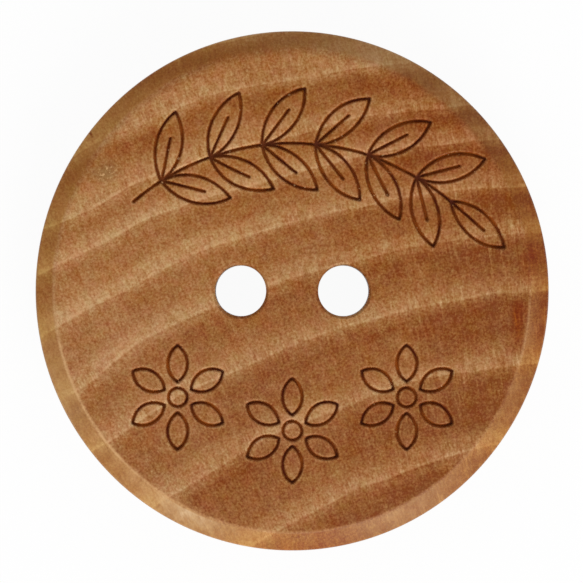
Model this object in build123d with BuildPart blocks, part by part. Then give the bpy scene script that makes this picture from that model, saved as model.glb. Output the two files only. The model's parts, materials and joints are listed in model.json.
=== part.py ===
"""Sew-through wooden button: an end-grain disc with a bevelled rim, two thread holes and an engraved face.

Millimetres. The button lies on its back: the origin is the middle of the back face, +Z points out of
the engraved face, and +Y points up the face, across the growth rings.
"""

from build123d import *
from math import sqrt
import os

# Disc: wood shrinks most along its growth rings, so the dried disc is slightly oval
disc_length = 25.0  # along Y, across the rings
disc_width = 24.7  # along X, along the rings
disc_thickness = 4.0

# Rim: a bevel round the face, rounded at its crest and its shoulder, and a small bevel round the back
bevel_width = 0.9
bevel_drop = 0.7
crest_radius = 0.3
shoulder_radius = 0.3
back_chamfer = 0.4

# Thread holes, drilled side by side along X
hole_diameter = 2.45
hole_spacing = 4.95
hole_chamfer = 0.12

# Engraved line: a round-ended groove of one width and one depth
groove_width = 0.2
groove_depth = 0.18

# Leafy sprig above the holes: an arched stem with pairs of leaves and one leaf at its tip
stem_span = 15.2
stem_rise = 2.8
stem_height = 4.3  # of the stem's two ends above the middle of the face
leaf_pair_count = 6
first_pair_share = 0.1  # of the stem's length
last_pair_share = 0.88
leaf_length = 3.4
leaf_width = 1.25
leaf_lean = 46.0  # degrees between a leaf and the stem
vein_share = 0.62  # of the leaf's length

# Flowers below the holes: petals round a small ring, the eye, along a row that sags in the middle
flower_count = 3
flower_row_span = 11.0
flower_row_drop = 5.1  # of the row's two ends below the middle of the face
flower_row_sag = 1.6
petal_count = 6
petal_length = 1.75
petal_width = 0.95
eye_diameter = 0.9
eye_gap = 0.3  # between the line of the eye and the petals


def heading_of(direction):
    """Angle of a direction in the plane of the face, in degrees from +X."""
    return Vector(1, 0).get_signed_angle(direction, Vector(0, 0, 1))


def draw_leaf(base, heading, length, width):
    """Two bowed lines from the base of a leaf or petal to its tip."""
    tip = base + Vector(length, 0).rotate(Axis.Z, heading)
    for bow in (width / 2, -width / 2):
        SagittaArc(base, tip, bow)


def draw_veined_leaf(base, heading):
    """A leaf of the sprig, with its middle vein."""
    draw_leaf(base, heading, leaf_length, leaf_width)
    PolarLine(base, vein_share * leaf_length, heading)


# Lines of the sprig
with BuildLine() as sprig:
    stem_start = Vector(-stem_span / 2, stem_height)
    stem_end = Vector(stem_span / 2, stem_height)
    stem = SagittaArc(stem_start, stem_end, stem_rise)
    pair_step_share = (last_pair_share - first_pair_share) / (leaf_pair_count - 1)
    for pair in range(leaf_pair_count):
        pair_share = first_pair_share + pair * pair_step_share
        stem_heading = heading_of(stem % pair_share)
        for side in (1, -1):
            draw_veined_leaf(stem @ pair_share, stem_heading + side * leaf_lean)
    draw_veined_leaf(stem @ 1, heading_of(stem % 1))

# Middles of the flowers, spread evenly along a sagging row
row_start = Vector(-flower_row_span / 2, -flower_row_drop)
row_end = Vector(flower_row_span / 2, -flower_row_drop)
flower_row = SagittaArc(row_start, row_end, -flower_row_sag)
flower_middles = [flower_row @ (flower / (flower_count - 1)) for flower in range(flower_count)]

# Lines of the petals, which start clear of the eye
with BuildLine() as petals:
    petal_start = eye_diameter / 2 + eye_gap
    for middle in flower_middles:
        for petal in range(petal_count):
            heading = 90 + petal * 360 / petal_count
            base = middle + Vector(petal_start, 0).rotate(Axis.Z, heading)
            draw_leaf(base, heading, petal_length, petal_width)

# All the engraving in plan: each line as a round-ended slot, and the eyes as rings
with BuildSketch(Plane.XY.offset(disc_thickness)) as engraving:
    for line in sprig.edges() + petals.edges():
        SlotArc(line, groove_width)
    with Locations(*flower_middles):
        Circle((eye_diameter + groove_width) / 2)
        Circle((eye_diameter - groove_width) / 2, mode=Mode.SUBTRACT)

# Oval outline: four arcs that meet on the diagonals
oval_shift = (disc_length - disc_width) / 2 / (2 - sqrt(2))
end_radius = disc_length / 2 - oval_shift
side_radius = disc_width / 2 + oval_shift
with BuildSketch() as outline:
    with BuildLine():
        CenterArc((0, oval_shift), end_radius, 45, 90)
        CenterArc((oval_shift, 0), side_radius, 135, 90)
        CenterArc((0, -oval_shift), end_radius, 225, 90)
        CenterArc((-oval_shift, 0), side_radius, 315, 90)
    make_face()

with BuildPart() as button:
    # Disc, bevelled round its face and its back
    extrude(outline.sketch, amount=disc_thickness)
    back, face = button.faces().filter_by(Axis.Z).sort_by(Axis.Z)
    chamfer(face.edges(), bevel_width, bevel_drop, reference=face)
    chamfer(back.edges(), back_chamfer)

    # Rounded shoulder and crest of the face's bevel
    shoulder, crest = button.edges().filter_by(GeomType.CIRCLE).group_by(Axis.Z)[-2:]
    fillet(shoulder, shoulder_radius)
    fillet(crest, crest_radius)

    # Thread holes with chamfered mouths
    with GridLocations(hole_spacing, 0, 2, 1):
        Hole(hole_diameter / 2)
    chamfer(button.edges(Select.LAST).filter_by(GeomType.CIRCLE), hole_chamfer)

    # Engraved face
    extrude(engraving.sketch, amount=-groove_depth, mode=Mode.SUBTRACT)

button.part.label = "button"
os.makedirs("parts", exist_ok=True)
export_step(button.part, "parts/button.step")
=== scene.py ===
"""Looks of a wooden sew-through button: its mesh, its end-grain wood with a burnt engraving, and its stage.

Metres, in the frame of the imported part: the button lies on its back, with +Z out of its engraved face and
+Y up the face, across the growth rings.
"""

import bmesh
import bpy
import json
from math import atan, atan2, ceil, copysign, cos, exp, pi, radians, sin, sqrt, tan
from mathutils import Matrix, Vector, geometry, kdtree, noise


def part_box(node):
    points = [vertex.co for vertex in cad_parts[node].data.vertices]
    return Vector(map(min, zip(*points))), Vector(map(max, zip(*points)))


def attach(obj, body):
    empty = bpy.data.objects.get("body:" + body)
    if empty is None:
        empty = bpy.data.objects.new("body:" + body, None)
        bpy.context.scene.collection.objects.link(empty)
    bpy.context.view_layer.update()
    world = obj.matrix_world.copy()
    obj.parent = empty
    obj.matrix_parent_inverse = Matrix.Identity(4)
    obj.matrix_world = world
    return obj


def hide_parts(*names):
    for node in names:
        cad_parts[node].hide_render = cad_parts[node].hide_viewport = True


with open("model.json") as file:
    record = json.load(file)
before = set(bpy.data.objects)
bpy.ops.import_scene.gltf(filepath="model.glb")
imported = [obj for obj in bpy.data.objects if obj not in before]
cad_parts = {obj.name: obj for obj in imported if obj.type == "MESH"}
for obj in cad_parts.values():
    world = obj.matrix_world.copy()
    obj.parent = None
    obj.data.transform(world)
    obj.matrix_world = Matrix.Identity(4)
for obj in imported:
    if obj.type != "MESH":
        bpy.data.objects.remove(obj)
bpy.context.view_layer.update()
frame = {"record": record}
noise.seed_set(1)

MM = 0.001

# Disc: an oval of four arcs that meet on the diagonals
low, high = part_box("button")
half_width = (high.x - low.x) / 2
half_length = (high.y - low.y) / 2
thickness = high.z - low.z
oval_shift = (half_length - half_width) / (2 - sqrt(2))
end_radius = half_length - oval_shift
side_radius = half_width + oval_shift

# Rim: a bevel round the face with a rounded crest and shoulder, and a small bevel round the back
bevel_width = 0.9 * MM
bevel_drop = 0.7 * MM
crest_radius = 0.3 * MM  # where it is crispest
soft_crest_radius = 1.1 * MM  # where hand sanding has taken most of it off
soft_heading = radians(105)
shoulder_radius = 0.3 * MM
back_chamfer = 0.4 * MM
back_edge_radius = 0.15 * MM
crest_sway = 0.05 * MM  # of the hand-sanded crest, in and out
crest_sway_lobes = 3.5  # along one radius of the disc
flat_hold = 0.25 * MM  # of flat that is meshed with a hole or with the rim of the back
crest_hold_share = 0.4  # of the crest's radius, of flat that is meshed with the rim of the face

# Thread holes, placed and sized by the record
bores = [mount for mount in frame["record"]["mounts"] if mount["kind"] == "bore"]
hole_middles = [Vector(bore["pos_m"][:2]) for bore in bores]
hole_radius = bores[0]["dims"]["r_mm"] * MM
hole_chamfer = (thickness - bores[0]["dims"]["length_mm"] * MM) / 2
hole_edge_radius = 0.06 * MM

# Leafy sprig above the holes
stem_span = 15.2 * MM
stem_rise = 2.8 * MM
stem_height = 4.3 * MM
leaf_pair_count = 6
first_pair_share = 0.1  # of the stem's length
last_pair_share = 0.88
leaf_length = 3.4 * MM
leaf_width = 1.25 * MM
leaf_lean = radians(46)
vein_share = 0.62  # of the leaf's length

# Flowers below the holes
flower_count = 3
flower_row_span = 11.0 * MM
flower_row_drop = 5.1 * MM
flower_row_sag = 1.6 * MM
petal_count = 6
petal_length = 1.75 * MM
petal_width = 0.95 * MM
eye_diameter = 0.9 * MM
eye_gap = 0.3 * MM

# Engraved groove: a rounded furrow that a hand has drawn, so it wanders, widens and deepens a little
groove_half_width = 0.115 * MM
groove_depth = 0.18 * MM
crowding_reach = 0.4 * MM  # within which a second line makes the burn deeper in colour
hand_wander = 0.035 * MM
hand_wander_length = 2.2 * MM
groove_unevenness = 0.16  # of its width and depth
groove_unevenness_length = 0.8 * MM

# Fineness of the mesh
rim_columns = 360
rim_headings = [2 * pi * column / rim_columns for column in range(rim_columns + 1)]
hole_columns = 96
corner_steps = 7
wall_steps = 8
stroke_step = 0.06 * MM
stroke_rows = (0, 0.3, 0.6, 0.85, 1.1, 1.5)  # of the groove's half width
fill_step = 0.42 * MM
closest_points = 0.022 * MM
weld_distance = 0.002 * MM
inside_only = 1  # triangles are made inside the outline alone
meeting_share = 1e-7  # of a millimetre, within which points count as one


# Outlines and profiles

def turned(heading):
    """Unit vector in the plane of the face, at an angle from +X."""
    return Vector((cos(heading), sin(heading)))


def oval_point(heading, inset):
    """Point of the disc's outline, moved in by inset, where the rim faces that heading."""
    facing = turned(heading)
    if abs(facing.y) >= abs(facing.x):
        return Vector((0, copysign(oval_shift, facing.y))) + facing * (end_radius - inset)
    return Vector((-copysign(oval_shift, facing.x), 0)) + facing * (side_radius - inset)


def rounded_profile(corners, radii):
    """Points along a profile of (inset, height) corners, with the inner corners rounded to the radii."""
    corners = [Vector(corner) for corner in corners]
    points = [corners[0]]
    for before, corner, after, radius in zip(corners, corners[1:], corners[2:], radii):
        into = (corner - before).normalized()
        out = (after - corner).normalized()
        turn = atan2(into.cross(out), into.dot(out))
        start = corner - into * radius * tan(abs(turn) / 2)
        middle = start + Vector((-into.y, into.x)) * copysign(radius, turn)
        for step in range(corner_steps + 1):
            points.append(middle + Matrix.Rotation(turn * step / corner_steps, 2) @ (start - middle))
    return points + [corners[-1]]


def divided(start, end, steps):
    """Points from start to end in even steps."""
    return [start.lerp(end, step / steps) for step in range(steps + 1)]


def run_lengths(points):
    """Length of a line of points up to each of them."""
    lengths = [0.0]
    for before, after in zip(points, points[1:]):
        lengths.append(lengths[-1] + (after - before).length)
    return lengths


# Engraved lines

def arc_place(start, end, bow, share):
    """Point and heading at a share of an arc from start to end that bows to its left."""
    chord = end - start
    chord_heading = atan2(chord.y, chord.x)
    if bow == 0:
        return start.lerp(end, share), chord_heading
    half_turn = 2 * atan(2 * bow / chord.length)
    radius = chord.length / 2 / sin(half_turn)
    turn = half_turn * (2 * share - 1)
    along = radius * sin(turn)
    aside = radius * (cos(turn) - cos(half_turn))
    left = Vector((-chord.y, chord.x)).normalized()
    return (start + end) / 2 + chord.normalized() * along + left * aside, chord_heading - turn


def arc_points(start, end, bow):
    """Points along an arc, close enough together to stand for it."""
    steps = ceil((end - start).length / stroke_step)
    return [arc_place(start, end, bow, step / steps)[0] for step in range(steps + 1)]


def leaf_strokes(base, heading, length, width):
    """Two bowed lines from the base of a leaf or petal to its tip."""
    tip = base + turned(heading) * length
    return [arc_points(base, tip, bow) for bow in (width / 2, -width / 2)]


def veined_leaf_strokes(base, heading):
    """A leaf of the sprig, with its middle vein."""
    vein = arc_points(base, base + turned(heading) * leaf_length * vein_share, 0)
    return leaf_strokes(base, heading, leaf_length, leaf_width) + [vein]


def sprig_strokes():
    """An arched stem with pairs of leaves and one leaf at its tip."""
    stem = (Vector((-stem_span / 2, stem_height)), Vector((stem_span / 2, stem_height)), stem_rise)
    strokes = [arc_points(*stem)]
    pair_step_share = (last_pair_share - first_pair_share) / (leaf_pair_count - 1)
    for pair in range(leaf_pair_count):
        base, stem_heading = arc_place(*stem, first_pair_share + pair * pair_step_share)
        for side in (1, -1):
            strokes += veined_leaf_strokes(base, stem_heading + side * leaf_lean)
    return strokes + veined_leaf_strokes(*arc_place(*stem, 1))


def flower_strokes(middle):
    """Petals round a small ring."""
    eye_steps = ceil(pi * eye_diameter / stroke_step)
    eye_headings = [2 * pi * step / eye_steps for step in range(eye_steps + 1)]
    strokes = [[middle + turned(heading) * eye_diameter / 2 for heading in eye_headings]]
    for petal in range(petal_count):
        heading = pi / 2 + 2 * pi * petal / petal_count
        base = middle + turned(heading) * (eye_diameter / 2 + eye_gap)
        strokes += leaf_strokes(base, heading, petal_length, petal_width)
    return strokes


def hand_drawn(point):
    """A point of a drawn line, moved a little as an unsteady hand would."""
    sway = noise.noise_vector(point.to_3d() / hand_wander_length)
    return point + sway.to_2d() * hand_wander


def all_strokes():
    """Every engraved line, as a list of points."""
    strokes = sprig_strokes()
    row_start = Vector((-flower_row_span / 2, -flower_row_drop))
    row_end = Vector((flower_row_span / 2, -flower_row_drop))
    for flower in range(flower_count):
        middle, _ = arc_place(row_start, row_end, -flower_row_sag, flower / (flower_count - 1))
        strokes += flower_strokes(middle)
    return [[hand_drawn(point) for point in stroke] for stroke in strokes]


class Engraving:
    """The engraved lines, and how far any point of the face lies from them."""

    finer = 4  # search points to each step of a stroke

    def __init__(self):
        self.strokes = all_strokes()
        self.stroke_of = []
        fine = []
        for number, stroke in enumerate(self.strokes):
            for before, after in zip(stroke, stroke[1:]):
                fine += divided(before, after, self.finer)
            self.stroke_of += [number] * (len(fine) - len(self.stroke_of))
        self.search = kdtree.KDTree(len(fine))
        for index, point in enumerate(fine):
            self.search.insert(point.to_3d(), index)
        self.search.balance()

    def gap(self, point):
        """Distance from a point of the face to the nearest line."""
        return self.search.find(point.to_3d())[2]

    def gap_from(self, place):
        """Distance from a place on the button to the nearest line, or far where that isn't on the face."""
        on_face = place.z > thickness - groove_depth * (1 + groove_unevenness)
        return self.gap(place.to_2d()) if on_face else half_width

    def crowding_at(self, place):
        """How near a second line comes to a place on the button, from 0 far off to 1 on it."""
        spot = Vector((place.x, place.y, 0))
        nearest = self.stroke_of[self.search.find(spot)[1]]
        close = self.search.find_range(spot, crowding_reach)
        gaps = [gap for _, index, gap in close if self.stroke_of[index] != nearest]
        return 1 - min(gaps, default=crowding_reach) / crowding_reach

    def drop(self, point):
        """Depth of the groove at a point of the face."""
        unevenness = noise.noise(point.to_3d() / groove_unevenness_length) * groove_unevenness
        share = min(1, self.gap(point) / (groove_half_width * (1 + unevenness)))
        return groove_depth * (1 + unevenness) * (1 - share ** 2) ** 2

    def row_points(self):
        """Points in rows along every line, and round its ends, from its middle out over its lips."""
        points = []
        for row in stroke_rows:
            offset = row * groove_half_width
            for stroke in self.strokes:
                points += self.side_points(stroke, offset)
                points += self.end_points(stroke[0], offset)
                points += self.end_points(stroke[-1], offset)
        return points

    def side_points(self, stroke, offset):
        """Points at an offset to both sides of a line, where no other line is nearer."""
        points = []
        for before, point, after in zip(stroke, stroke[1:], stroke[2:]):
            left = (after - before).orthogonal().normalized()
            for side in (1, -1):
                points.append(point + left * offset * side)
        return self.clear_points(points, offset)

    def end_points(self, end, offset):
        """Points round the end of a line, where no other line is nearer."""
        steps = max(1, round(2 * pi * offset / stroke_step))
        ring = [end + turned(2 * pi * step / steps) * offset for step in range(steps)]
        return self.clear_points(ring, offset)

    def clear_points(self, points, offset):
        """The points that really lie about that far from the nearest line."""
        return [point for point in points if self.gap(point) > offset - closest_points / 4]


def spaced_out(points):
    """The points without those that crowd an earlier one."""
    kept = []
    taken = {}
    for point in points:
        column, row = (int(part // closest_points) for part in point)
        cells = [(column + i, row + j) for i in (-1, 0, 1) for j in (-1, 0, 1)]
        near = (other for cell in cells for other in taken.get(cell, ()))
        if all((other - point).length > closest_points for other in near):
            kept.append(point)
            taken.setdefault((column, row), []).append(point)
    return kept


# Texture map: the face with its bevel, the back, a strip of wall, and the walls of the two holes

map_margin = 0.006
wall_strip_height = 0.036
face_map_radius = 0.395
back_map_radius = 0.160
hole_strip_size = Vector((0.19, 0.10))
face_map_scale = face_map_radius / (half_length + bevel_drop)
back_map_scale = back_map_radius / (half_length + back_chamfer)
face_map_low = Vector((map_margin, 2 * map_margin + wall_strip_height))
face_map_middle = face_map_low + Vector((face_map_radius, face_map_radius))
back_map_middle = Vector((1 - map_margin - back_map_radius, 1 - map_margin - back_map_radius))
hole_strip_corner = Vector((1 - map_margin - hole_strip_size.x, face_map_low.y))
hole_strip_step = Vector((0, hole_strip_size.y + map_margin))


def face_place(point):
    """Place on the texture map of a point of the face."""
    return face_map_middle + point * face_map_scale


def back_place(point):
    """Place on the texture map of a point of the back, seen from behind."""
    return back_map_middle + Vector((-point.x, point.y)) * back_map_scale


class Skin:
    """Vertices and faces of one mesh, with a place on the texture map for each corner of a face."""

    def __init__(self):
        self.vertices = []
        self.faces = []
        self.map_places = []

    def add(self, points, places, faces):
        """Faces over new points, which have their places on the texture map."""
        first = len(self.vertices)
        self.vertices += points
        for face in faces:
            self.faces.append([first + corner for corner in face])
            self.map_places += [places[corner] for corner in face]

    def add_rows(self, rows, row_places):
        """A band of quads through rows of as many points each."""
        columns = len(rows[0])
        faces = []
        for row in range(len(rows) - 1):
            for column in range(columns - 1):
                corner = row * columns + column
                faces.append((corner, corner + 1, corner + columns + 1, corner + columns))
        self.add(sum(rows, []), sum(row_places, []), faces)

    def add_flat(self, height, outer, holes, inside, drop_at, place_at):
        """Triangles over a face inside an outer ring and round its holes, with the points inside let down."""
        rings = outer + sum(holes, [])
        points = rings + inside
        scaled = [point / MM for point in points]
        loop = list(range(len(outer)))
        triangles = geometry.delaunay_2d_cdt(scaled, [], [loop], inside_only, meeting_share)[2]
        kept = [face for face in triangles if not in_hole([points[corner] for corner in face])]
        heights = [height] * len(rings) + [height - drop_at(point) for point in inside]
        raised = [Vector((*point, level)) for point, level in zip(points, heights)]
        self.add(raised, [place_at(point) for point in points], kept)

    def build(self, name):
        """The mesh as an object, with shared edges welded and a smooth surface."""
        mesh = bpy.data.meshes.new(name)
        mesh.from_pydata(self.vertices, [], self.faces)
        layer = mesh.uv_layers.new(name="OFBake")
        for corner, place in zip(layer.uv, self.map_places):
            corner.vector = place
        work = bmesh.new()
        work.from_mesh(mesh)
        bmesh.ops.remove_doubles(work, verts=work.verts, dist=weld_distance)
        loose = [vertex for vertex in work.verts if not vertex.link_faces]
        bmesh.ops.delete(work, geom=loose, context="VERTS")
        bmesh.ops.recalc_face_normals(work, faces=work.faces)
        work.to_mesh(mesh)
        work.free()
        mesh.shade_smooth()
        piece = bpy.data.objects.new(name, mesh)
        bpy.context.scene.collection.objects.link(piece)
        return piece


def in_hole(corners):
    """Whether a triangle lies in the ring that a thread hole's own mesh fills."""
    middle = sum(corners, Vector((0, 0))) / len(corners)
    return any((middle - hole).length < hole_radius + hole_chamfer + flat_hold for hole in hole_middles)


# Button: the rim, the walls of the holes, the engraved face and the back

def back_rim_profile():
    """Profile of the back's bevel as (inset, height), from the flat of the back out to the wall."""
    corners = [(back_chamfer + flat_hold, 0), (back_chamfer, 0), (0, back_chamfer), (0, thickness / 2)]
    return rounded_profile(corners, [back_edge_radius] * 2)[:-1]


def face_rim_profile(heading):
    """Profile of the face's bevel as (inset, height), from the flat of the face out to the wall."""
    softness = (1 + cos(heading - soft_heading)) / 2
    crest = crest_radius + (soft_crest_radius - crest_radius) * softness ** 3
    width = bevel_width + crest_sway * noise.noise((turned(heading) * crest_sway_lobes).to_3d())
    corners = [
        (width + crest * crest_hold_share, thickness),
        (width, thickness),
        (0, thickness - bevel_drop),
        (0, thickness / 2),
    ]
    return rounded_profile(corners, [crest, shoulder_radius])[:-1]


def rim_columns_of(profiles):
    """Rows of points and of map places round the rim, from a profile for each heading."""
    rows = []
    places = []
    for step in range(len(profiles[0])):
        row = []
        row_places = []
        for heading, profile in zip(rim_headings, profiles):
            inset, height = profile[step]
            row.append(oval_point(heading, inset).to_3d() + Vector((0, 0, height)))
            row_places.append(oval_point(heading, profile[0].x - run_lengths(profile)[step]))
        rows.append(row)
        places.append(row_places)
    return rows, places


def wall_rows(foot_row, top_row):
    """Rows of points and of map places up the wall of the rim."""
    strip = Vector((1 - 2 * map_margin, wall_strip_height))
    rows = []
    places = []
    for step in range(wall_steps + 1):
        rows.append([foot.lerp(top, step / wall_steps) for foot, top in zip(foot_row, top_row)])
        spots = [Vector((heading / (2 * pi), step / wall_steps)) for heading in rim_headings]
        places.append([Vector((map_margin, map_margin)) + spot * strip for spot in spots])
    return rows, places


def add_rim(skin):
    """The rim; gives the inner ring of its back and of its face."""
    back_profile = back_rim_profile()
    back_rows, back_spots = rim_columns_of([back_profile] * len(rim_headings))
    skin.add_rows(back_rows, [[back_place(spot) for spot in row] for row in back_spots])

    face_profiles = [face_rim_profile(heading) for heading in rim_headings]
    face_rows, face_spots = rim_columns_of(face_profiles)
    skin.add_rows(face_rows, [[face_place(spot) for spot in row] for row in face_spots])

    skin.add_rows(*wall_rows(back_rows[-1], face_rows[-1]))
    return [point.to_2d() for point in back_rows[0][:-1]], [point.to_2d() for point in face_rows[0][:-1]]


def hole_profile():
    """Profile of a thread hole as (radius, height), from the back to the face."""
    mouth = hole_radius + hole_chamfer
    corners = [
        (mouth + flat_hold, 0),
        (mouth, 0),
        (hole_radius, hole_chamfer),
        (hole_radius, thickness - hole_chamfer),
        (mouth, thickness),
        (mouth + flat_hold, thickness),
    ]
    return rounded_profile(corners, [hole_edge_radius] * 4)


def add_hole(skin, middle, corner_place):
    """The wall and mouths of a thread hole; gives the ring that both faces meet."""
    profile = hole_profile()
    facings = [turned(2 * pi * column / hole_columns) for column in range(hole_columns + 1)]
    lengths = run_lengths(profile)
    rows = []
    places = []
    for (radius, height), length in zip(profile, lengths):
        rows.append([(middle + facing * radius).to_3d() + Vector((0, 0, height)) for facing in facings])
        spots = [Vector((column / hole_columns, length / lengths[-1])) for column in range(hole_columns + 1)]
        places.append([corner_place + spot * hole_strip_size for spot in spots])
    skin.add_rows(rows, places)
    return [middle + facing * profile[0].x for facing in facings[:-1]]


def fill_points(rings, keep_off):
    """An even grid of points inside the first ring, clear of every ring and of what keep_off names."""
    search = kdtree.KDTree(sum(len(ring) for ring in rings))
    for index, point in enumerate(sum(rings, [])):
        search.insert(point.to_3d(), index)
    search.balance()
    points = []
    row_step = fill_step * sqrt(3) / 2
    for row in range(-ceil(half_length / row_step), ceil(half_length / row_step) + 1):
        for column in range(-ceil(half_width / fill_step), ceil(half_width / fill_step) + 1):
            point = Vector((column + row % 2 / 2, row)) * Vector((fill_step, row_step))
            heading_share = atan2(point.y, point.x) / (2 * pi)
            inside = point.length < rings[0][round(heading_share * rim_columns) % rim_columns].length
            in_holes = any((point - hole).length < hole_radius for hole in hole_middles)
            near_ring = search.find(point.to_3d())[2] < fill_step / 2
            if inside and not in_holes and not near_ring and not keep_off(point):
                points.append(point)
    return points


def make_button(engraving):
    """The whole button as one mesh."""
    skin = Skin()
    back_ring, face_ring = add_rim(skin)
    hole_rings = []
    for index, middle in enumerate(hole_middles):
        hole_rings.append(add_hole(skin, middle, hole_strip_corner + hole_strip_step * index))

    lines = spaced_out(engraving.row_points())
    line_reach = groove_half_width * stroke_rows[-1] + fill_step / 2
    fill = fill_points([face_ring] + hole_rings, lambda point: engraving.gap(point) < line_reach)
    skin.add_flat(thickness, face_ring, hole_rings, lines + fill, engraving.drop, face_place)
    back_fill = fill_points([back_ring] + hole_rings, lambda point: False)
    skin.add_flat(0, back_ring, hole_rings, back_fill, lambda point: 0, back_place)
    return skin.build("wooden_button")


# Wear of the rim, with a painted highlight along its crest and shoulder and a painted sheen on its bevel,
# where the light falls

wear_and_highlight_reach = 0.082 * MM
shoulder_wear_and_highlight_share = 0.5  # of the wear and painted highlight along the crest
crest_blend = 0.15 * MM
least_worn_and_lit_share = 0.25
worn_and_lit_crests = [  # heading of the middle, half of the span, and how far it is worn and lit by a painted highlight
    (radians(207), radians(85), 1.25),
    (radians(353), radians(16), 0.9),
]
worn_and_lit_height_share = 0.2  # of the face's radius, above which the crest is left as it was, with no painted highlight
worn_and_lit_fade_share = 0.45  # of the face's radius, over which the wear and painted highlight set in
rub_and_sheen_patches = [  # heading of the middle, half of the span, and how far it is rubbed and given a painted sheen at the wall and the crest
    (radians(66), radians(50), 0.18, 0.10),
    (radians(206), radians(28), 0.32, 0.34),
    (radians(243), radians(30), 0.27, 1.0),
    (radians(299), radians(27), 0.22, 0.66),
    (radians(331), radians(26), 0.12, 0.36),
]


def clamped(share):
    """The share, kept between 0 and 1."""
    return min(1, max(0, share))


def rim_place(place):
    """Heading of a place from the middle of the face, and how far in from the outline it lies."""
    heading = atan2(place.y, place.x)
    return heading, oval_point(heading, 0).length - place.to_2d().length


def patch_share(heading, middle, half_span):
    """How far a heading lies in a patch of the rim, from 1 at its middle to 0 at its ends."""
    turn = abs((heading - middle + pi) % (2 * pi) - pi)
    return cos(pi / 2 * clamped(turn / half_span)) ** 2


def edge_wear_and_highlight_at(place):
    """Wear and a painted highlight along the crest and shoulder of the rim: most at the lower left, where the
    light falls, none at the top.
    """
    heading, inset = rim_place(place)
    off_crest = Vector((inset - bevel_width, place.z - thickness)).length
    off_shoulder = Vector((inset, place.z - thickness + bevel_drop)).length
    worn_and_lit_side = least_worn_and_lit_share
    for middle, half_span, share in worn_and_lit_crests:
        worn_and_lit_side = max(worn_and_lit_side, share * patch_share(heading, middle, half_span))
    below_top = clamped((worn_and_lit_height_share - sin(heading)) / worn_and_lit_fade_share)
    crest_wear_and_highlight = exp(-((off_crest / wear_and_highlight_reach) ** 2))
    shoulder_wear_and_highlight = exp(-((off_shoulder / wear_and_highlight_reach) ** 2)) * shoulder_wear_and_highlight_share
    return worn_and_lit_side * below_top * (crest_wear_and_highlight + shoulder_wear_and_highlight)


def bevel_share_at(place):
    """How far a place lies on the bevel, from 0 on the face and at the foot of the wall to 1."""
    _, inset = rim_place(place)
    below_crest = clamped((bevel_width - inset) / crest_blend)
    above_foot = clamped((place.z - back_chamfer) / (thickness - bevel_drop - back_chamfer))
    return below_crest * above_foot


def bevel_rub_and_sheen_at(place):
    """How far the finish of the bevel is rubbed off and given a painted sheen, from 0 to 1, in patches,
    mostly on the lower, lit side.
    """
    heading, inset = rim_place(place)
    rub_and_sheen = 0
    for middle, half_span, wall_share, crest_share in rub_and_sheen_patches:
        share = wall_share + (crest_share - wall_share) * clamped(inset / bevel_width)
        rub_and_sheen += share * patch_share(heading, middle, half_span)
    return rub_and_sheen * bevel_share_at(place)


def mark_button(piece, engraving):
    """Stores, at each vertex, how it lies to the engraved lines and to the rim."""
    marks = {
        "line_gap": engraving.gap_from,
        "line_crowding": engraving.crowding_at,
        "edge_wear_and_highlight": edge_wear_and_highlight_at,
        "bevel_share": bevel_share_at,
        "bevel_rub_and_sheen": bevel_rub_and_sheen_at,
    }
    places = [vertex.co.copy() for vertex in piece.data.vertices]
    for name, mark_at in marks.items():
        marks_there = [mark_at(place) for place in places]
        piece.data.attributes.new(name, "FLOAT", "POINT").data.foreach_set("value", marks_there)


# Shader arithmetic

class Field:
    """A value that a shader works out at each point, joined to others by plain arithmetic."""

    def __init__(self, socket):
        self.socket = socket
        self.tree = socket.id_data

    def math(self, operation, *others):
        """The outcome of one operation on the value and others."""
        inputs = dict(enumerate((self, *others)))
        return shader_node(self.tree, "ShaderNodeMath", inputs, operation=operation)

    def __add__(self, other):
        return self.math("ADD", other)

    def __sub__(self, other):
        return self.math("SUBTRACT", other)

    def __mul__(self, other):
        return self.math("MULTIPLY", other)

    def flipped(self):
        """One minus the value."""
        return self * -1 + 1

    def stepped(self, start, end):
        """A smooth step from 0 at start to 1 at end."""
        inputs = {"Value": self, "From Min": start, "From Max": end}
        return shader_node(self.tree, "ShaderNodeMapRange", inputs, interpolation_type="SMOOTHSTEP")

    def curved(self, points):
        """The value carried along straight lines through points whose x runs from 0 to 1."""
        node = self.tree.nodes.new("ShaderNodeFloatCurve")
        curve = node.mapping.curves[0]
        for extra in points[2:]:
            curve.points.new(*extra)
        for spot, point in zip(curve.points, sorted(points)):
            spot.location = point
            spot.handle_type = "VECTOR"
        node.mapping.update()
        self.tree.links.new(self.socket, node.inputs["Value"])
        return Field(node.outputs["Value"])

    def split(self):
        """The three parts of a vector."""
        node = self.tree.nodes.new("ShaderNodeSeparateXYZ")
        self.tree.links.new(self.socket, node.inputs["Vector"])
        return [Field(output) for output in node.outputs]


def join(tree, value, socket):
    """Links a field to a socket, or sets the socket to a plain value."""
    if isinstance(value, Field):
        tree.links.new(value.socket, socket)
    else:
        socket.default_value = value


def shader_node(tree, kind, inputs, output=0, **settings):
    """Adds a node, sets its settings and inputs, and gives one of its outputs."""
    node = tree.nodes.new(kind)
    for setting, value in settings.items():
        setattr(node, setting, value)
    for name, value in inputs.items():
        join(tree, value, node.inputs[name])
    return Field(node.outputs[output])


def noise_field(directions, pattern):
    """Soft noise around 0. A pattern is its swells along three directions, its detail and its roughness."""
    swells, detail, roughness = pattern
    tree = directions[0].tree
    parts = [direction * swell for direction, swell in zip(directions, swells)]
    place = shader_node(tree, "ShaderNodeCombineXYZ", dict(zip("XYZ", parts)))
    inputs = {"Vector": place, "Scale": 1.0, "Detail": detail, "Roughness": roughness}
    return shader_node(tree, "ShaderNodeTexNoise", inputs) - 0.5


def attribute_field(tree, name):
    """A value stored at the vertices."""
    return shader_node(tree, "ShaderNodeAttribute", {}, "Fac", attribute_name=name)


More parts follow.
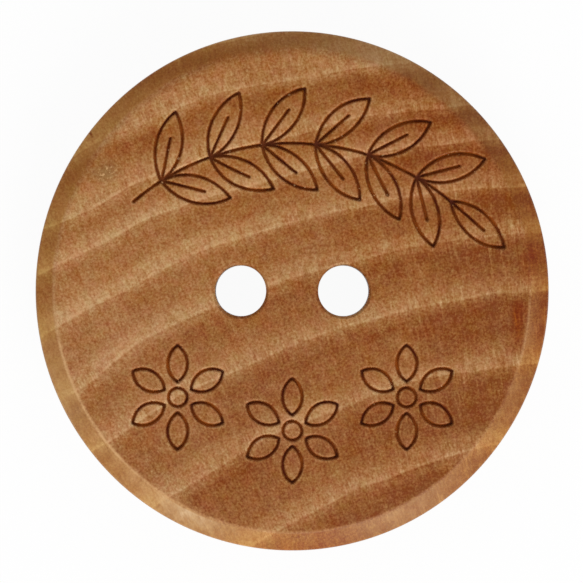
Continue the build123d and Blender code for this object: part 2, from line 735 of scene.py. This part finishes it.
def soft_spot(x, y, middle, size):
    """An oval spot that fades from 1 at its middle to 0 at its edge."""
    across = (x - middle.x) * (1 / size.x)
    up = (y - middle.y) * (1 / size.y)
    return (across * across + up * up).math("SQRT").stepped(0, 1).flipped()


def mixed(share, first, second, blend="MIX"):
    """Two colours mixed by a share."""
    node = share.tree.nodes.new("ShaderNodeMix")
    node.data_type = "RGBA"
    node.blend_type = blend
    factor, first_colour, second_colour = node.inputs[0], node.inputs[6], node.inputs[7]
    for socket, value in ((factor, share), (first_colour, first), (second_colour, second)):
        join(share.tree, value, socket)
    return Field(node.outputs[2])


def colour(red, green, blue):
    """A colour written as 0 to 255 in sRGB, as the linear colour that shaders take."""
    parts = [part / 255 for part in (red, green, blue)]
    linear = [part / 12.92 if part <= 0.04045 else ((part + 0.055) / 1.055) ** 2.4 for part in parts]
    return (*linear, 1.0)


def colour_ramp(value, stops):
    """A colour picked along a ramp of (position, colour) stops."""
    node = value.tree.nodes.new("ShaderNodeValToRGB")
    ramp = node.color_ramp
    for _ in stops[2:]:
        ramp.elements.new(0.5)
    for element, (position, shade) in zip(ramp.elements, stops):
        element.position = position
        element.color = shade
    value.tree.links.new(value.socket, node.inputs["Fac"])
    return Field(node.outputs["Color"])


def empty_material(name):
    """A new material without nodes, and its node tree."""
    material = bpy.data.materials.new(name)
    material.use_nodes = True
    material.node_tree.nodes.clear()
    return material, material.node_tree


def set_surface(tree, shader):
    """Makes a shader the surface of a material."""
    output = tree.nodes.new("ShaderNodeOutputMaterial")
    tree.links.new(shader.socket, output.inputs["Surface"])


# Grain of the wood: places in the log in millimetres, and patterns with their swells to the millimetre

pith = Vector((18.45, -55.2))  # in the plane of the face
middle_heading = -0.3227  # of the face seen from the pith, in radians from +Y
middle_radius = 58.4  # of the face from the pith
ray_pattern = ((8.5, 2.0, 0.4), 2.0, 0.65)  # along a ring, across the rings and down the log
streak_pattern = ((5.0, 0.6, 0.2), 2.0, 0.6)
fine_pattern = ((8.5, 8.5, 0.8), 2.0, 0.75)  # across the face, up it and down the log
coarse_pattern = ((1.9, 1.9, 0.3), 3.0, 0.6)
blotch_pattern = ((0.28, 0.28, 0.1), 2.0, 0.5)
waver_pattern = ((0.22, 0.22, 0.06), 1.0, 0.5)


class Grain:
    """Where a point lies in the log, and the grain there: rays, streaks, mottle and slow blotches."""

    def __init__(self, tree):
        spot = shader_node(tree, "ShaderNodeTexCoord", {}, "Object")
        spot = shader_node(tree, "ShaderNodeVectorMath", {0: spot, "Scale": 1 / MM}, operation="SCALE")
        self.x, self.y, self.z = spot.split()
        across = self.x - pith.x
        up = self.y - pith.y
        self.radius = (across * across + up * up).math("SQRT")
        self.swing = across.math("ARCTAN2", up) - middle_heading
        self.along = self.swing * middle_radius

        in_log = (self.along, self.radius, self.z)
        on_face = (self.x, self.y, self.z)
        self.rays = noise_field(in_log, ray_pattern)
        self.streaks = noise_field(in_log, streak_pattern)
        self.fine = noise_field(on_face, fine_pattern)
        self.coarse = noise_field(on_face, coarse_pattern)
        self.blotch = noise_field(on_face, blotch_pattern)
        self.waver = noise_field((self.y, self.x, self.z), waver_pattern)


# Growth rings round the far pith, in millimetres

ring_wedge = 0.375  # how much wider the rings grow to one side
ring_sag = 9.0  # how much flatter than round the rings run
ring_waver = 0.6
ring_edges = (44.0, 48.15, 52.05, 55.7, 58.68, 61.22, 63.62, 65.5, 67.9, 70.6, 74.0)
ring_depth = 4.4  # a little over the widest ring, and as far as the tables of tones reach
ring_bends = [  # middle, half sizes and rise of the places where the rings bow
    (Vector((-4.0, 2.2)), Vector((5.5, 4.0)), 0.25),
    (Vector((-10.0, -4.3)), Vector((4.0, 4.0)), -0.38),
    (Vector((-10.2, 4.4)), Vector((3.6, 3.0)), -0.3),
    (Vector((-3.6, 9.2)), Vector((5.0, 3.6)), 0.36),
    (Vector((-1.6, -3.4)), Vector((5.0, 3.4)), -0.2),
    (Vector((5.4, 1.6)), Vector((3.4, 3.4)), 0.2),
    (Vector((6.0, -5.8)), Vector((3.6, 3.4)), 0.24),
]


class Rings:
    """The ring that a point lies in, and how far it is past the inner edge and short of the outer edge."""

    def __init__(self, grain):
        reach = grain.radius + grain.swing * (grain.radius - middle_radius) * ring_wedge
        reach = reach + grain.swing * grain.swing * ring_sag + grain.waver * ring_waver
        for middle, size, rise in ring_bends:
            reach = reach - soft_spot(grain.x, grain.y, middle, size) * rise
        self.reach = reach

        count = len(ring_edges) - 1
        first = ring_edges[0]
        span = ring_edges[-1] - first
        edge_points = [((edge - first) / span, index / count) for index, edge in enumerate(ring_edges)]
        self.number = ((reach - first) * (1 / span)).curved(edge_points) * count
        phase = self.number.math("FRACT")

        widths = [end - start for start, end in zip(ring_edges, ring_edges[1:])]
        width_points = [((index + 0.5) / count, width / ring_depth) for index, width in enumerate(widths)]
        width = ((self.number - phase + 0.5) * (1 / count)).curved(width_points) * ring_depth
        self.past = phase * width
        self.short = width - self.past


# Tone of the wood, from 0 dark to 1 pale

ring_tones = [(0, 0.17), (0.05, 0.28), (0.1, 0.34), (0.3, 0.31), (0.6, 0.27), (0.75, 0.21), (0.9, 0.13)]
ring_tones += [(1.2, 0.08), (1.7, 0.02), (ring_depth, 0)]  # by millimetres past the inner edge of a ring
wide_ring = (67.5, 67.9)  # where the outermost ring sets in, whose pale part is wider
wide_ring_stretch = 0.45
bound_start = (0.1, 0.6)  # past the inner edge, from where the grain breaks up the bounds of the tones
coarse_break = 1.2
ray_break = 0.5
streak_break = 0.5
line_tones = [(0, 0), (0.04, 0.2), (0.09, 1), (0.13, 0.8), (0.22, 0.2), (0.32, 0), (ring_depth, 0)]
line_pattern = ((0.45, 3.0, 0.2), 2.0, 0.5)  # along a ring, from ring to ring and down the log
line_strength = 0.1
line_unevenness = 0.35
line_fade = 0.004  # to the millimetre, from left to right
outer_edge_width = 0.55
outer_edge_tone = 0.15
vivid_right = (2, 10)
vivid_top = (1, 7)
vivid_share = 0.2  # more contrast between the rings there, and a little more everywhere
least_vivid_share = 0.05
mean_ring_tone = 0.14
ray_tone = 0.43
pale_ray_tone = 1.3  # more, the paler the wood is
fine_tone = 1.15
bevel_calm = 0.3  # less grain there
streak_tone = 0.27
coarse_tone = 0.34
blotch_tone = 0.34
layer_tone = 0.24
layer_pattern = ((0.12, 2.2, 0.1), 2.0, 0.5)  # along a ring, across the rings and down the log
bright_streaks = (0.06, 0.3)  # the strongest streaks, which show to the right
bright_streak_side = (1, 11)
bright_streak_tone = 0.3
mean_tone = 0.234
side_tone_and_shade_fade = 0.0145  # to the millimetre, from left to right: partly the wood's tone, partly painted shade away from light on the left
foot_fade = 0.0006  # to the square of the millimetres below the middle
tone_patches = [  # middle and half sizes in millimetres, and change of tone, of paler and darker places
    (Vector((-3.4, 0.5)), Vector((4.5, 6.0)), 0.08),
    (Vector((-8.0, 9.0)), Vector((7.0, 6.0)), -0.1),
    (Vector((-3.2, 10.2)), Vector((4.5, 2.4)), -0.12),
    (Vector((5.8, 8.0)), Vector((4.0, 3.5)), -0.08),
    (Vector((10.4, 5.7)), Vector((2.6, 1.8)), 0.1),
]


def tone_by_depth(past, tones):
    """A tone looked up by the distance past the inner edge of a ring."""
    return (past * (1 / ring_depth)).curved([(distance / ring_depth, tone) for distance, tone in tones])


def ring_tone(grain, rings):
    """Tone of the rings: pale past the inner edge with a paler line there, then dark up to the outer edge."""
    past = rings.past * (rings.reach.stepped(*wide_ring) * -wide_ring_stretch + 1)
    breaks = grain.coarse * coarse_break + grain.rays * ray_break + grain.streaks * streak_break
    tone = tone_by_depth(past + breaks * rings.past.stepped(*bound_start), ring_tones)
    strength = noise_field((grain.along, rings.number, grain.z), line_pattern) * line_unevenness
    strength = strength - grain.x * line_fade + line_strength
    outer_edge = rings.short.stepped(0, outer_edge_width).flipped()
    tone = tone + tone_by_depth(rings.past, line_tones) * strength + outer_edge * outer_edge_tone
    vivid_side = grain.x.stepped(*vivid_right).math("MAXIMUM", grain.y.stepped(*vivid_top))
    return tone + (tone - mean_ring_tone) * (vivid_side * vivid_share + least_vivid_share)


def wood_tone(grain, rings, bevel):
    """Tone of the rings with their grain, and with slow changes over the face, among them a darkening to the
    right that is partly painted shade.
    """
    tone = ring_tone(grain, rings)
    grit = grain.rays * (tone * pale_ray_tone + ray_tone) + grain.fine * fine_tone
    tone = tone + grit * (bevel * -bevel_calm + 1)
    layers = noise_field((grain.along, rings.reach, grain.z), layer_pattern)
    tone = tone + grain.streaks * streak_tone + grain.coarse * coarse_tone
    tone = tone + grain.blotch * blotch_tone + layers * layer_tone
    bright = grain.streaks.stepped(*bright_streaks) * grain.x.stepped(*bright_streak_side)
    below = grain.y.math("MINIMUM", 0)
    tone = tone + bright * bright_streak_tone
    # Darker to the right: partly the wood, partly painted shade
    tone = tone - grain.x * side_tone_and_shade_fade - below * below * foot_fade + mean_tone
    for middle, size, change in tone_patches:
        tone = tone + soft_spot(grain.x, grain.y, middle, size) * change
    return tone


# Colour of the wood

wood_stops = [  # by tone
    (0.0, colour(123, 62, 13)),
    (0.33, colour(153, 101, 50)),
    (0.62, colour(175, 131, 82)),
    (1.0, colour(200, 165, 117)),
]
red_tint = (1.0, 0.79, 0.78, 1.0)
red_pattern = ((1.3, 0.2, 1.3), 4.0, 0.8)  # up the face, down the log and across the face
red_bounds = (-0.22, 0.22)
red_patch_middle = Vector((6.5, 7.0))
red_patch_size = Vector((6.5, 5.0))
red_patch_strength = 0.12
bevel_red_loss = 0.5
hue_pattern = ((0.2, 1.3, 1.3), 4.0, 0.8)  # down the log, across the face and up it
hue_swing = 0.03
depth_pattern = ((1.2, 0.2, 1.2), 4.0, 0.8)  # across the face, down the log and up the face
depth_swing = 0.14
depth_waver = 0.05
depth_rise = 0.0015  # to the millimetre up the face
mean_depth = 0.995


def wood_colour(grain, tone, bevel):
    """Colour of a tone of the wood, redder and deeper in places."""
    wood = colour_ramp(tone, wood_stops)
    redness = noise_field((grain.y, grain.z, grain.x), red_pattern)
    redness = redness + soft_spot(grain.x, grain.y, red_patch_middle, red_patch_size) * red_patch_strength
    red_share = redness.stepped(*red_bounds) * (bevel * -bevel_red_loss + 1)
    wood = mixed(red_share, wood, red_tint, "MULTIPLY")
    hue = noise_field((grain.z, grain.x, grain.y), hue_pattern) * hue_swing + 0.5
    depth = noise_field((grain.x, grain.z, grain.y), depth_pattern) * depth_swing
    depth = depth + grain.waver * depth_waver + grain.y * depth_rise + mean_depth
    inputs = {"Hue": hue, "Saturation": depth, "Color": wood}
    return shader_node(wood.tree, "ShaderNodeHueSaturation", inputs)


# Marks in the wood, and painted shade at the holes, in millimetres

pale_wood = colour(206, 162, 112)
knot_middle = Vector((-9.0, 5.8))
knot_size = Vector((1.1, 1.0))
knot_wood = colour(128, 98, 60)
knot_share = 0.45
speck_pattern = ((6.0, 6.0, 1.0), 2.0, 0.7)
speck_bounds = (0.06, 0.16)
speck_share = 0.9
stain_tint = (0.86, 0.5, 0.12, 1.0)
stain_fray = 0.5
stains = [  # middle and half sizes in the plane of the face, and strength
    (Vector((10.85, -1.5)), Vector((0.5, 1.7)), 1.1),
    (Vector((11.45, 1.7)), Vector((0.6, 1.4)), 0.8),
    (Vector((12.0, -1.6)), Vector((0.9, 2.4)), 0.55),
]
# Painted shade along the upper edges of the holes, where their walls fall in shade
hole_edge_shade_wood = colour(72, 42, 22)
hole_shade_reach = (0.02, 0.12)  # from the wall of a hole
hole_shade_unevenness = 1.5
hole_shade_rise = 0.35  # to the millimetre up the face, so that only upper edges get the painted shade


def with_marks(grain, wood):
    """The wood with a rough grey knot, dark stains at the right and painted shade along the upper edges of
    the holes.
    """
    x, y = grain.x, grain.y
    knot = soft_spot(x + grain.coarse, y + grain.blotch, knot_middle, knot_size)
    specks = noise_field((x, y, grain.z), speck_pattern).stepped(*speck_bounds)
    wood = mixed(knot * knot_share, wood, knot_wood)
    wood = mixed(knot * specks * speck_share, wood, pale_wood)
    for middle, size, strength in stains:
        stain = soft_spot(x + grain.streaks * stain_fray, y + grain.coarse, middle, size)
        wood = mixed(stain * strength, wood, stain_tint, "MULTIPLY")
    # Painted shade at the upper edges of the holes
    hole_x = x.math("ABSOLUTE") - abs(hole_middles[0].x) / MM
    off_hole = (hole_x * hole_x + y * y).math("SQRT") - hole_radius / MM
    upper_edge_shade = grain.coarse * hole_shade_unevenness + y * hole_shade_rise
    return mixed(off_hole.stepped(*hole_shade_reach).flipped() * upper_edge_shade, wood, hole_edge_shade_wood)


# Worn finish of the rim, with a painted sheen and painted highlights

golden_tint = (1.0, 0.87, 0.54, 1.0)
plain_top = (3, 10)  # millimetres up and across the face, to where the finish isn't golden
plain_right = (-6, 1)
rubbed_and_sheened_wood = (colour(190, 148, 84), colour(214, 186, 150))  # from lightly to hard rubbed, the pale end also a painted sheen
rub_and_sheen_mottle = 1.2
rub_and_sheen_rays = 0.8
# Painted highlight mixed with real wear along the crest and shoulder, pale on the lit side
wear_and_highlight_strength = 0.65
wear_and_highlight_mottle = 1.2
wear_and_highlight_grit = 0.8


def with_wear(grain, wood, bevel):
    """The wood with a golden finish on the bevel, rubbed thin there in patches with a painted sheen, and worn
    along its edges with a painted highlight.
    """
    plain = grain.y.stepped(*plain_top) * grain.x.stepped(*plain_right)
    wood = mixed(bevel * plain.flipped(), wood, golden_tint, "MULTIPLY")
    rub_and_sheen = attribute_field(wood.tree, "bevel_rub_and_sheen")
    rub_and_sheen = rub_and_sheen * (grain.coarse * rub_and_sheen_mottle + grain.rays * rub_and_sheen_rays + 1)
    wood = mixed(rub_and_sheen, wood, mixed(rub_and_sheen, *rubbed_and_sheened_wood))
    # Pale worn edges with a painted highlight along the crest and shoulder
    wear_and_highlight = attribute_field(wood.tree, "edge_wear_and_highlight")
    wear_and_highlight = wear_and_highlight * (grain.coarse * wear_and_highlight_mottle + grain.fine * wear_and_highlight_grit + wear_and_highlight_strength)
    return mixed(wear_and_highlight, wood, pale_wood)


# Burnt lines, in millimetres from the middle of a line

char_stops = [(0.3, colour(92, 28, 0)), (0.7, colour(146, 72, 10))]
deep_char = colour(66, 22, 2)
burn_bounds = (0.035, 0.098)
fine_fray = 0.06
heat_fray = 0.05
heat_pattern = ((0.9, 0.9, 1.0), 1.0, 0.5)
char_mottle = 0.5
crowding_share = 0.8
chip_pattern = ((4.5, 4.5, 1.0), 1.0, 0.5)
chip_bounds = (0.22, 0.25)
chip_share = 0.8
# Painted highlight: a paler band along both lips of each groove, as if they catch the light
lip_start = (0.09, 0.13)
lip_end = (0.13, 0.24)
lip_highlight_tone = 0.1


def burnt_lines(grain, gap):
    """Share and colour of the burnt lines: uneven, with ragged edges and a few pale chips."""
    heat = noise_field((grain.y, grain.x, grain.z), heat_pattern)
    burn = (gap + grain.fine * fine_fray + heat * heat_fray).stepped(*burn_bounds).flipped()
    char = colour_ramp(heat * -1 + grain.coarse * char_mottle + 0.5, char_stops)
    char = mixed(attribute_field(gap.tree, "line_crowding") * crowding_share, char, deep_char)
    chips = noise_field((grain.x, grain.y, grain.z), chip_pattern).stepped(*chip_bounds)
    return burn, mixed(chips * chip_share, char, pale_wood)


# Wood with its finish

specular_level = 0.16
wood_roughness = 0.46
roughness_mottle = 0.25
burnt_roughness = 0.3
ray_relief = 0.6
fine_relief = 0.6
relief_strength = 0.6
relief_height = 0.03 * MM


def wood_material():
    """Sanded and oiled end grain with a burnt engraving."""
    material, tree = empty_material("end_grain_wood")
    grain = Grain(tree)
    bevel = attribute_field(tree, "bevel_share")
    gap = attribute_field(tree, "line_gap") * (1 / MM)
    # Painted highlight along the lips of the grooves
    lip_highlight = gap.stepped(*lip_start) * gap.stepped(*lip_end).flipped()
    tone = wood_tone(grain, Rings(grain), bevel) + lip_highlight * lip_highlight_tone
    wood = with_wear(grain, with_marks(grain, wood_colour(grain, tone, bevel)), bevel)
    burn, char = burnt_lines(grain, gap)

    relief = grain.rays * ray_relief + grain.fine * fine_relief
    bump = {"Height": relief, "Strength": relief_strength, "Distance": relief_height}
    finish = {
        "Base Color": mixed(burn, wood, char),
        "Roughness": grain.coarse * roughness_mottle + burn * burnt_roughness + wood_roughness,
        "Specular IOR Level": specular_level,
        "Normal": shader_node(tree, "ShaderNodeBump", bump),
    }
    set_surface(tree, shader_node(tree, "ShaderNodeBsdfPrincipled", finish))
    return material


# Stage: a white floor that keeps a faint shadow, soft light and a camera straight above

floor_half_size = 1.0
floor_gap = 0.02 * MM
floor_grey = 0.85
floor_shadow_share = 0.05
sky_stops = [(0.0, 0.25), (0.25, 0.45), (0.5, 0.95), (0.72, 0.95), (0.92, 0.3), (1.0, 0.2)]  # by height
key_distance = 0.32
key_size = 0.22
key_heading = radians(288)
key_elevation = radians(30)
key_level = 0.8
image_pixels = 583
pixels_per_mm = 20.775
seen_height = 3.2 * MM  # of the widest ring of the rim
lens = 400
sensor = 36
button_pixel = Vector((292.12, 290.86))  # of the middle of the button


def floor_material():
    """White to the camera and in reflections, and plain pale to light."""
    material, tree = empty_material("pale_floor")
    path = tree.nodes.new("ShaderNodeLightPath")
    rays = [Field(path.outputs[name]) for name in ("Is Camera Ray", "Is Glossy Ray", "Is Transmission Ray")]
    seen = rays[0].math("MAXIMUM", rays[1]).math("MAXIMUM", rays[2])
    paint = shader_node(tree, "ShaderNodeBsdfDiffuse", {"Color": (floor_grey, floor_grey, floor_grey, 1)})
    glow = shader_node(tree, "ShaderNodeEmission", {"Strength": 1.0})
    inputs = {0: seen * (1 - floor_shadow_share), 1: paint, 2: glow}
    set_surface(tree, shader_node(tree, "ShaderNodeMixShader", inputs))
    return material


def make_floor():
    """A wide flat floor just under the back of the button."""
    corners = [(-1, -1), (1, -1), (1, 1), (-1, 1)]
    mesh = bpy.data.meshes.new("floor")
    vertices = [(floor_half_size * i, floor_half_size * j, low.z - floor_gap) for i, j in corners]
    mesh.from_pydata(vertices, [], [(0, 1, 2, 3)])
    mesh.materials.append(floor_material())
    floor = bpy.data.objects.new("floor", mesh)
    bpy.context.scene.collection.objects.link(floor)


def light_scene():
    """Soft light from all round at middling height, and a soft lamp low below the foot of the picture."""
    world = bpy.data.worlds.new("studio")
    world.use_nodes = True
    tree = world.node_tree
    _, _, sky_height = shader_node(tree, "ShaderNodeTexCoord", {}, "Generated").split()
    stops = [(height, (level, level, level, 1)) for height, level in sky_stops]
    light = colour_ramp(sky_height, stops)
    tree.links.new(light.socket, tree.nodes["Background"].inputs["Color"])
    bpy.context.scene.world = world

    lamp = bpy.data.lights.new("key", "AREA")
    lamp.shape = "DISK"
    lamp.size = key_size
    lamp.energy = key_level * pi ** 2 * key_distance ** 2
    key = bpy.data.objects.new("key", lamp)
    aim = (turned(key_heading) * cos(key_elevation)).to_3d() + Vector((0, 0, sin(key_elevation)))
    key.location = aim * key_distance
    key.rotation_euler = aim.to_track_quat("Z", "Y").to_euler()
    bpy.context.scene.collection.objects.link(key)


def make_camera():
    """A long lens straight above, so that the button fills the frame as in the photograph."""
    data = bpy.data.cameras.new("camera")
    data.lens = lens
    data.sensor_width = sensor
    data.clip_start = 10 * MM
    seen_width = image_pixels / pixels_per_mm * MM
    offset = (Vector((image_pixels / 2, image_pixels / 2)) - button_pixel) / pixels_per_mm * MM
    camera = bpy.data.objects.new("camera", data)
    camera.location = (offset.x, -offset.y, seen_height + seen_width * lens / sensor)
    bpy.context.scene.collection.objects.link(camera)
    bpy.context.scene.camera = camera


engraving = Engraving()
button = make_button(engraving)
mark_button(button, engraving)
button.data.materials.append(wood_material())
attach(button, "root")
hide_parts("button")

make_floor()
light_scene()
make_camera()
bpy.context.scene.view_settings.view_transform = "Standard"
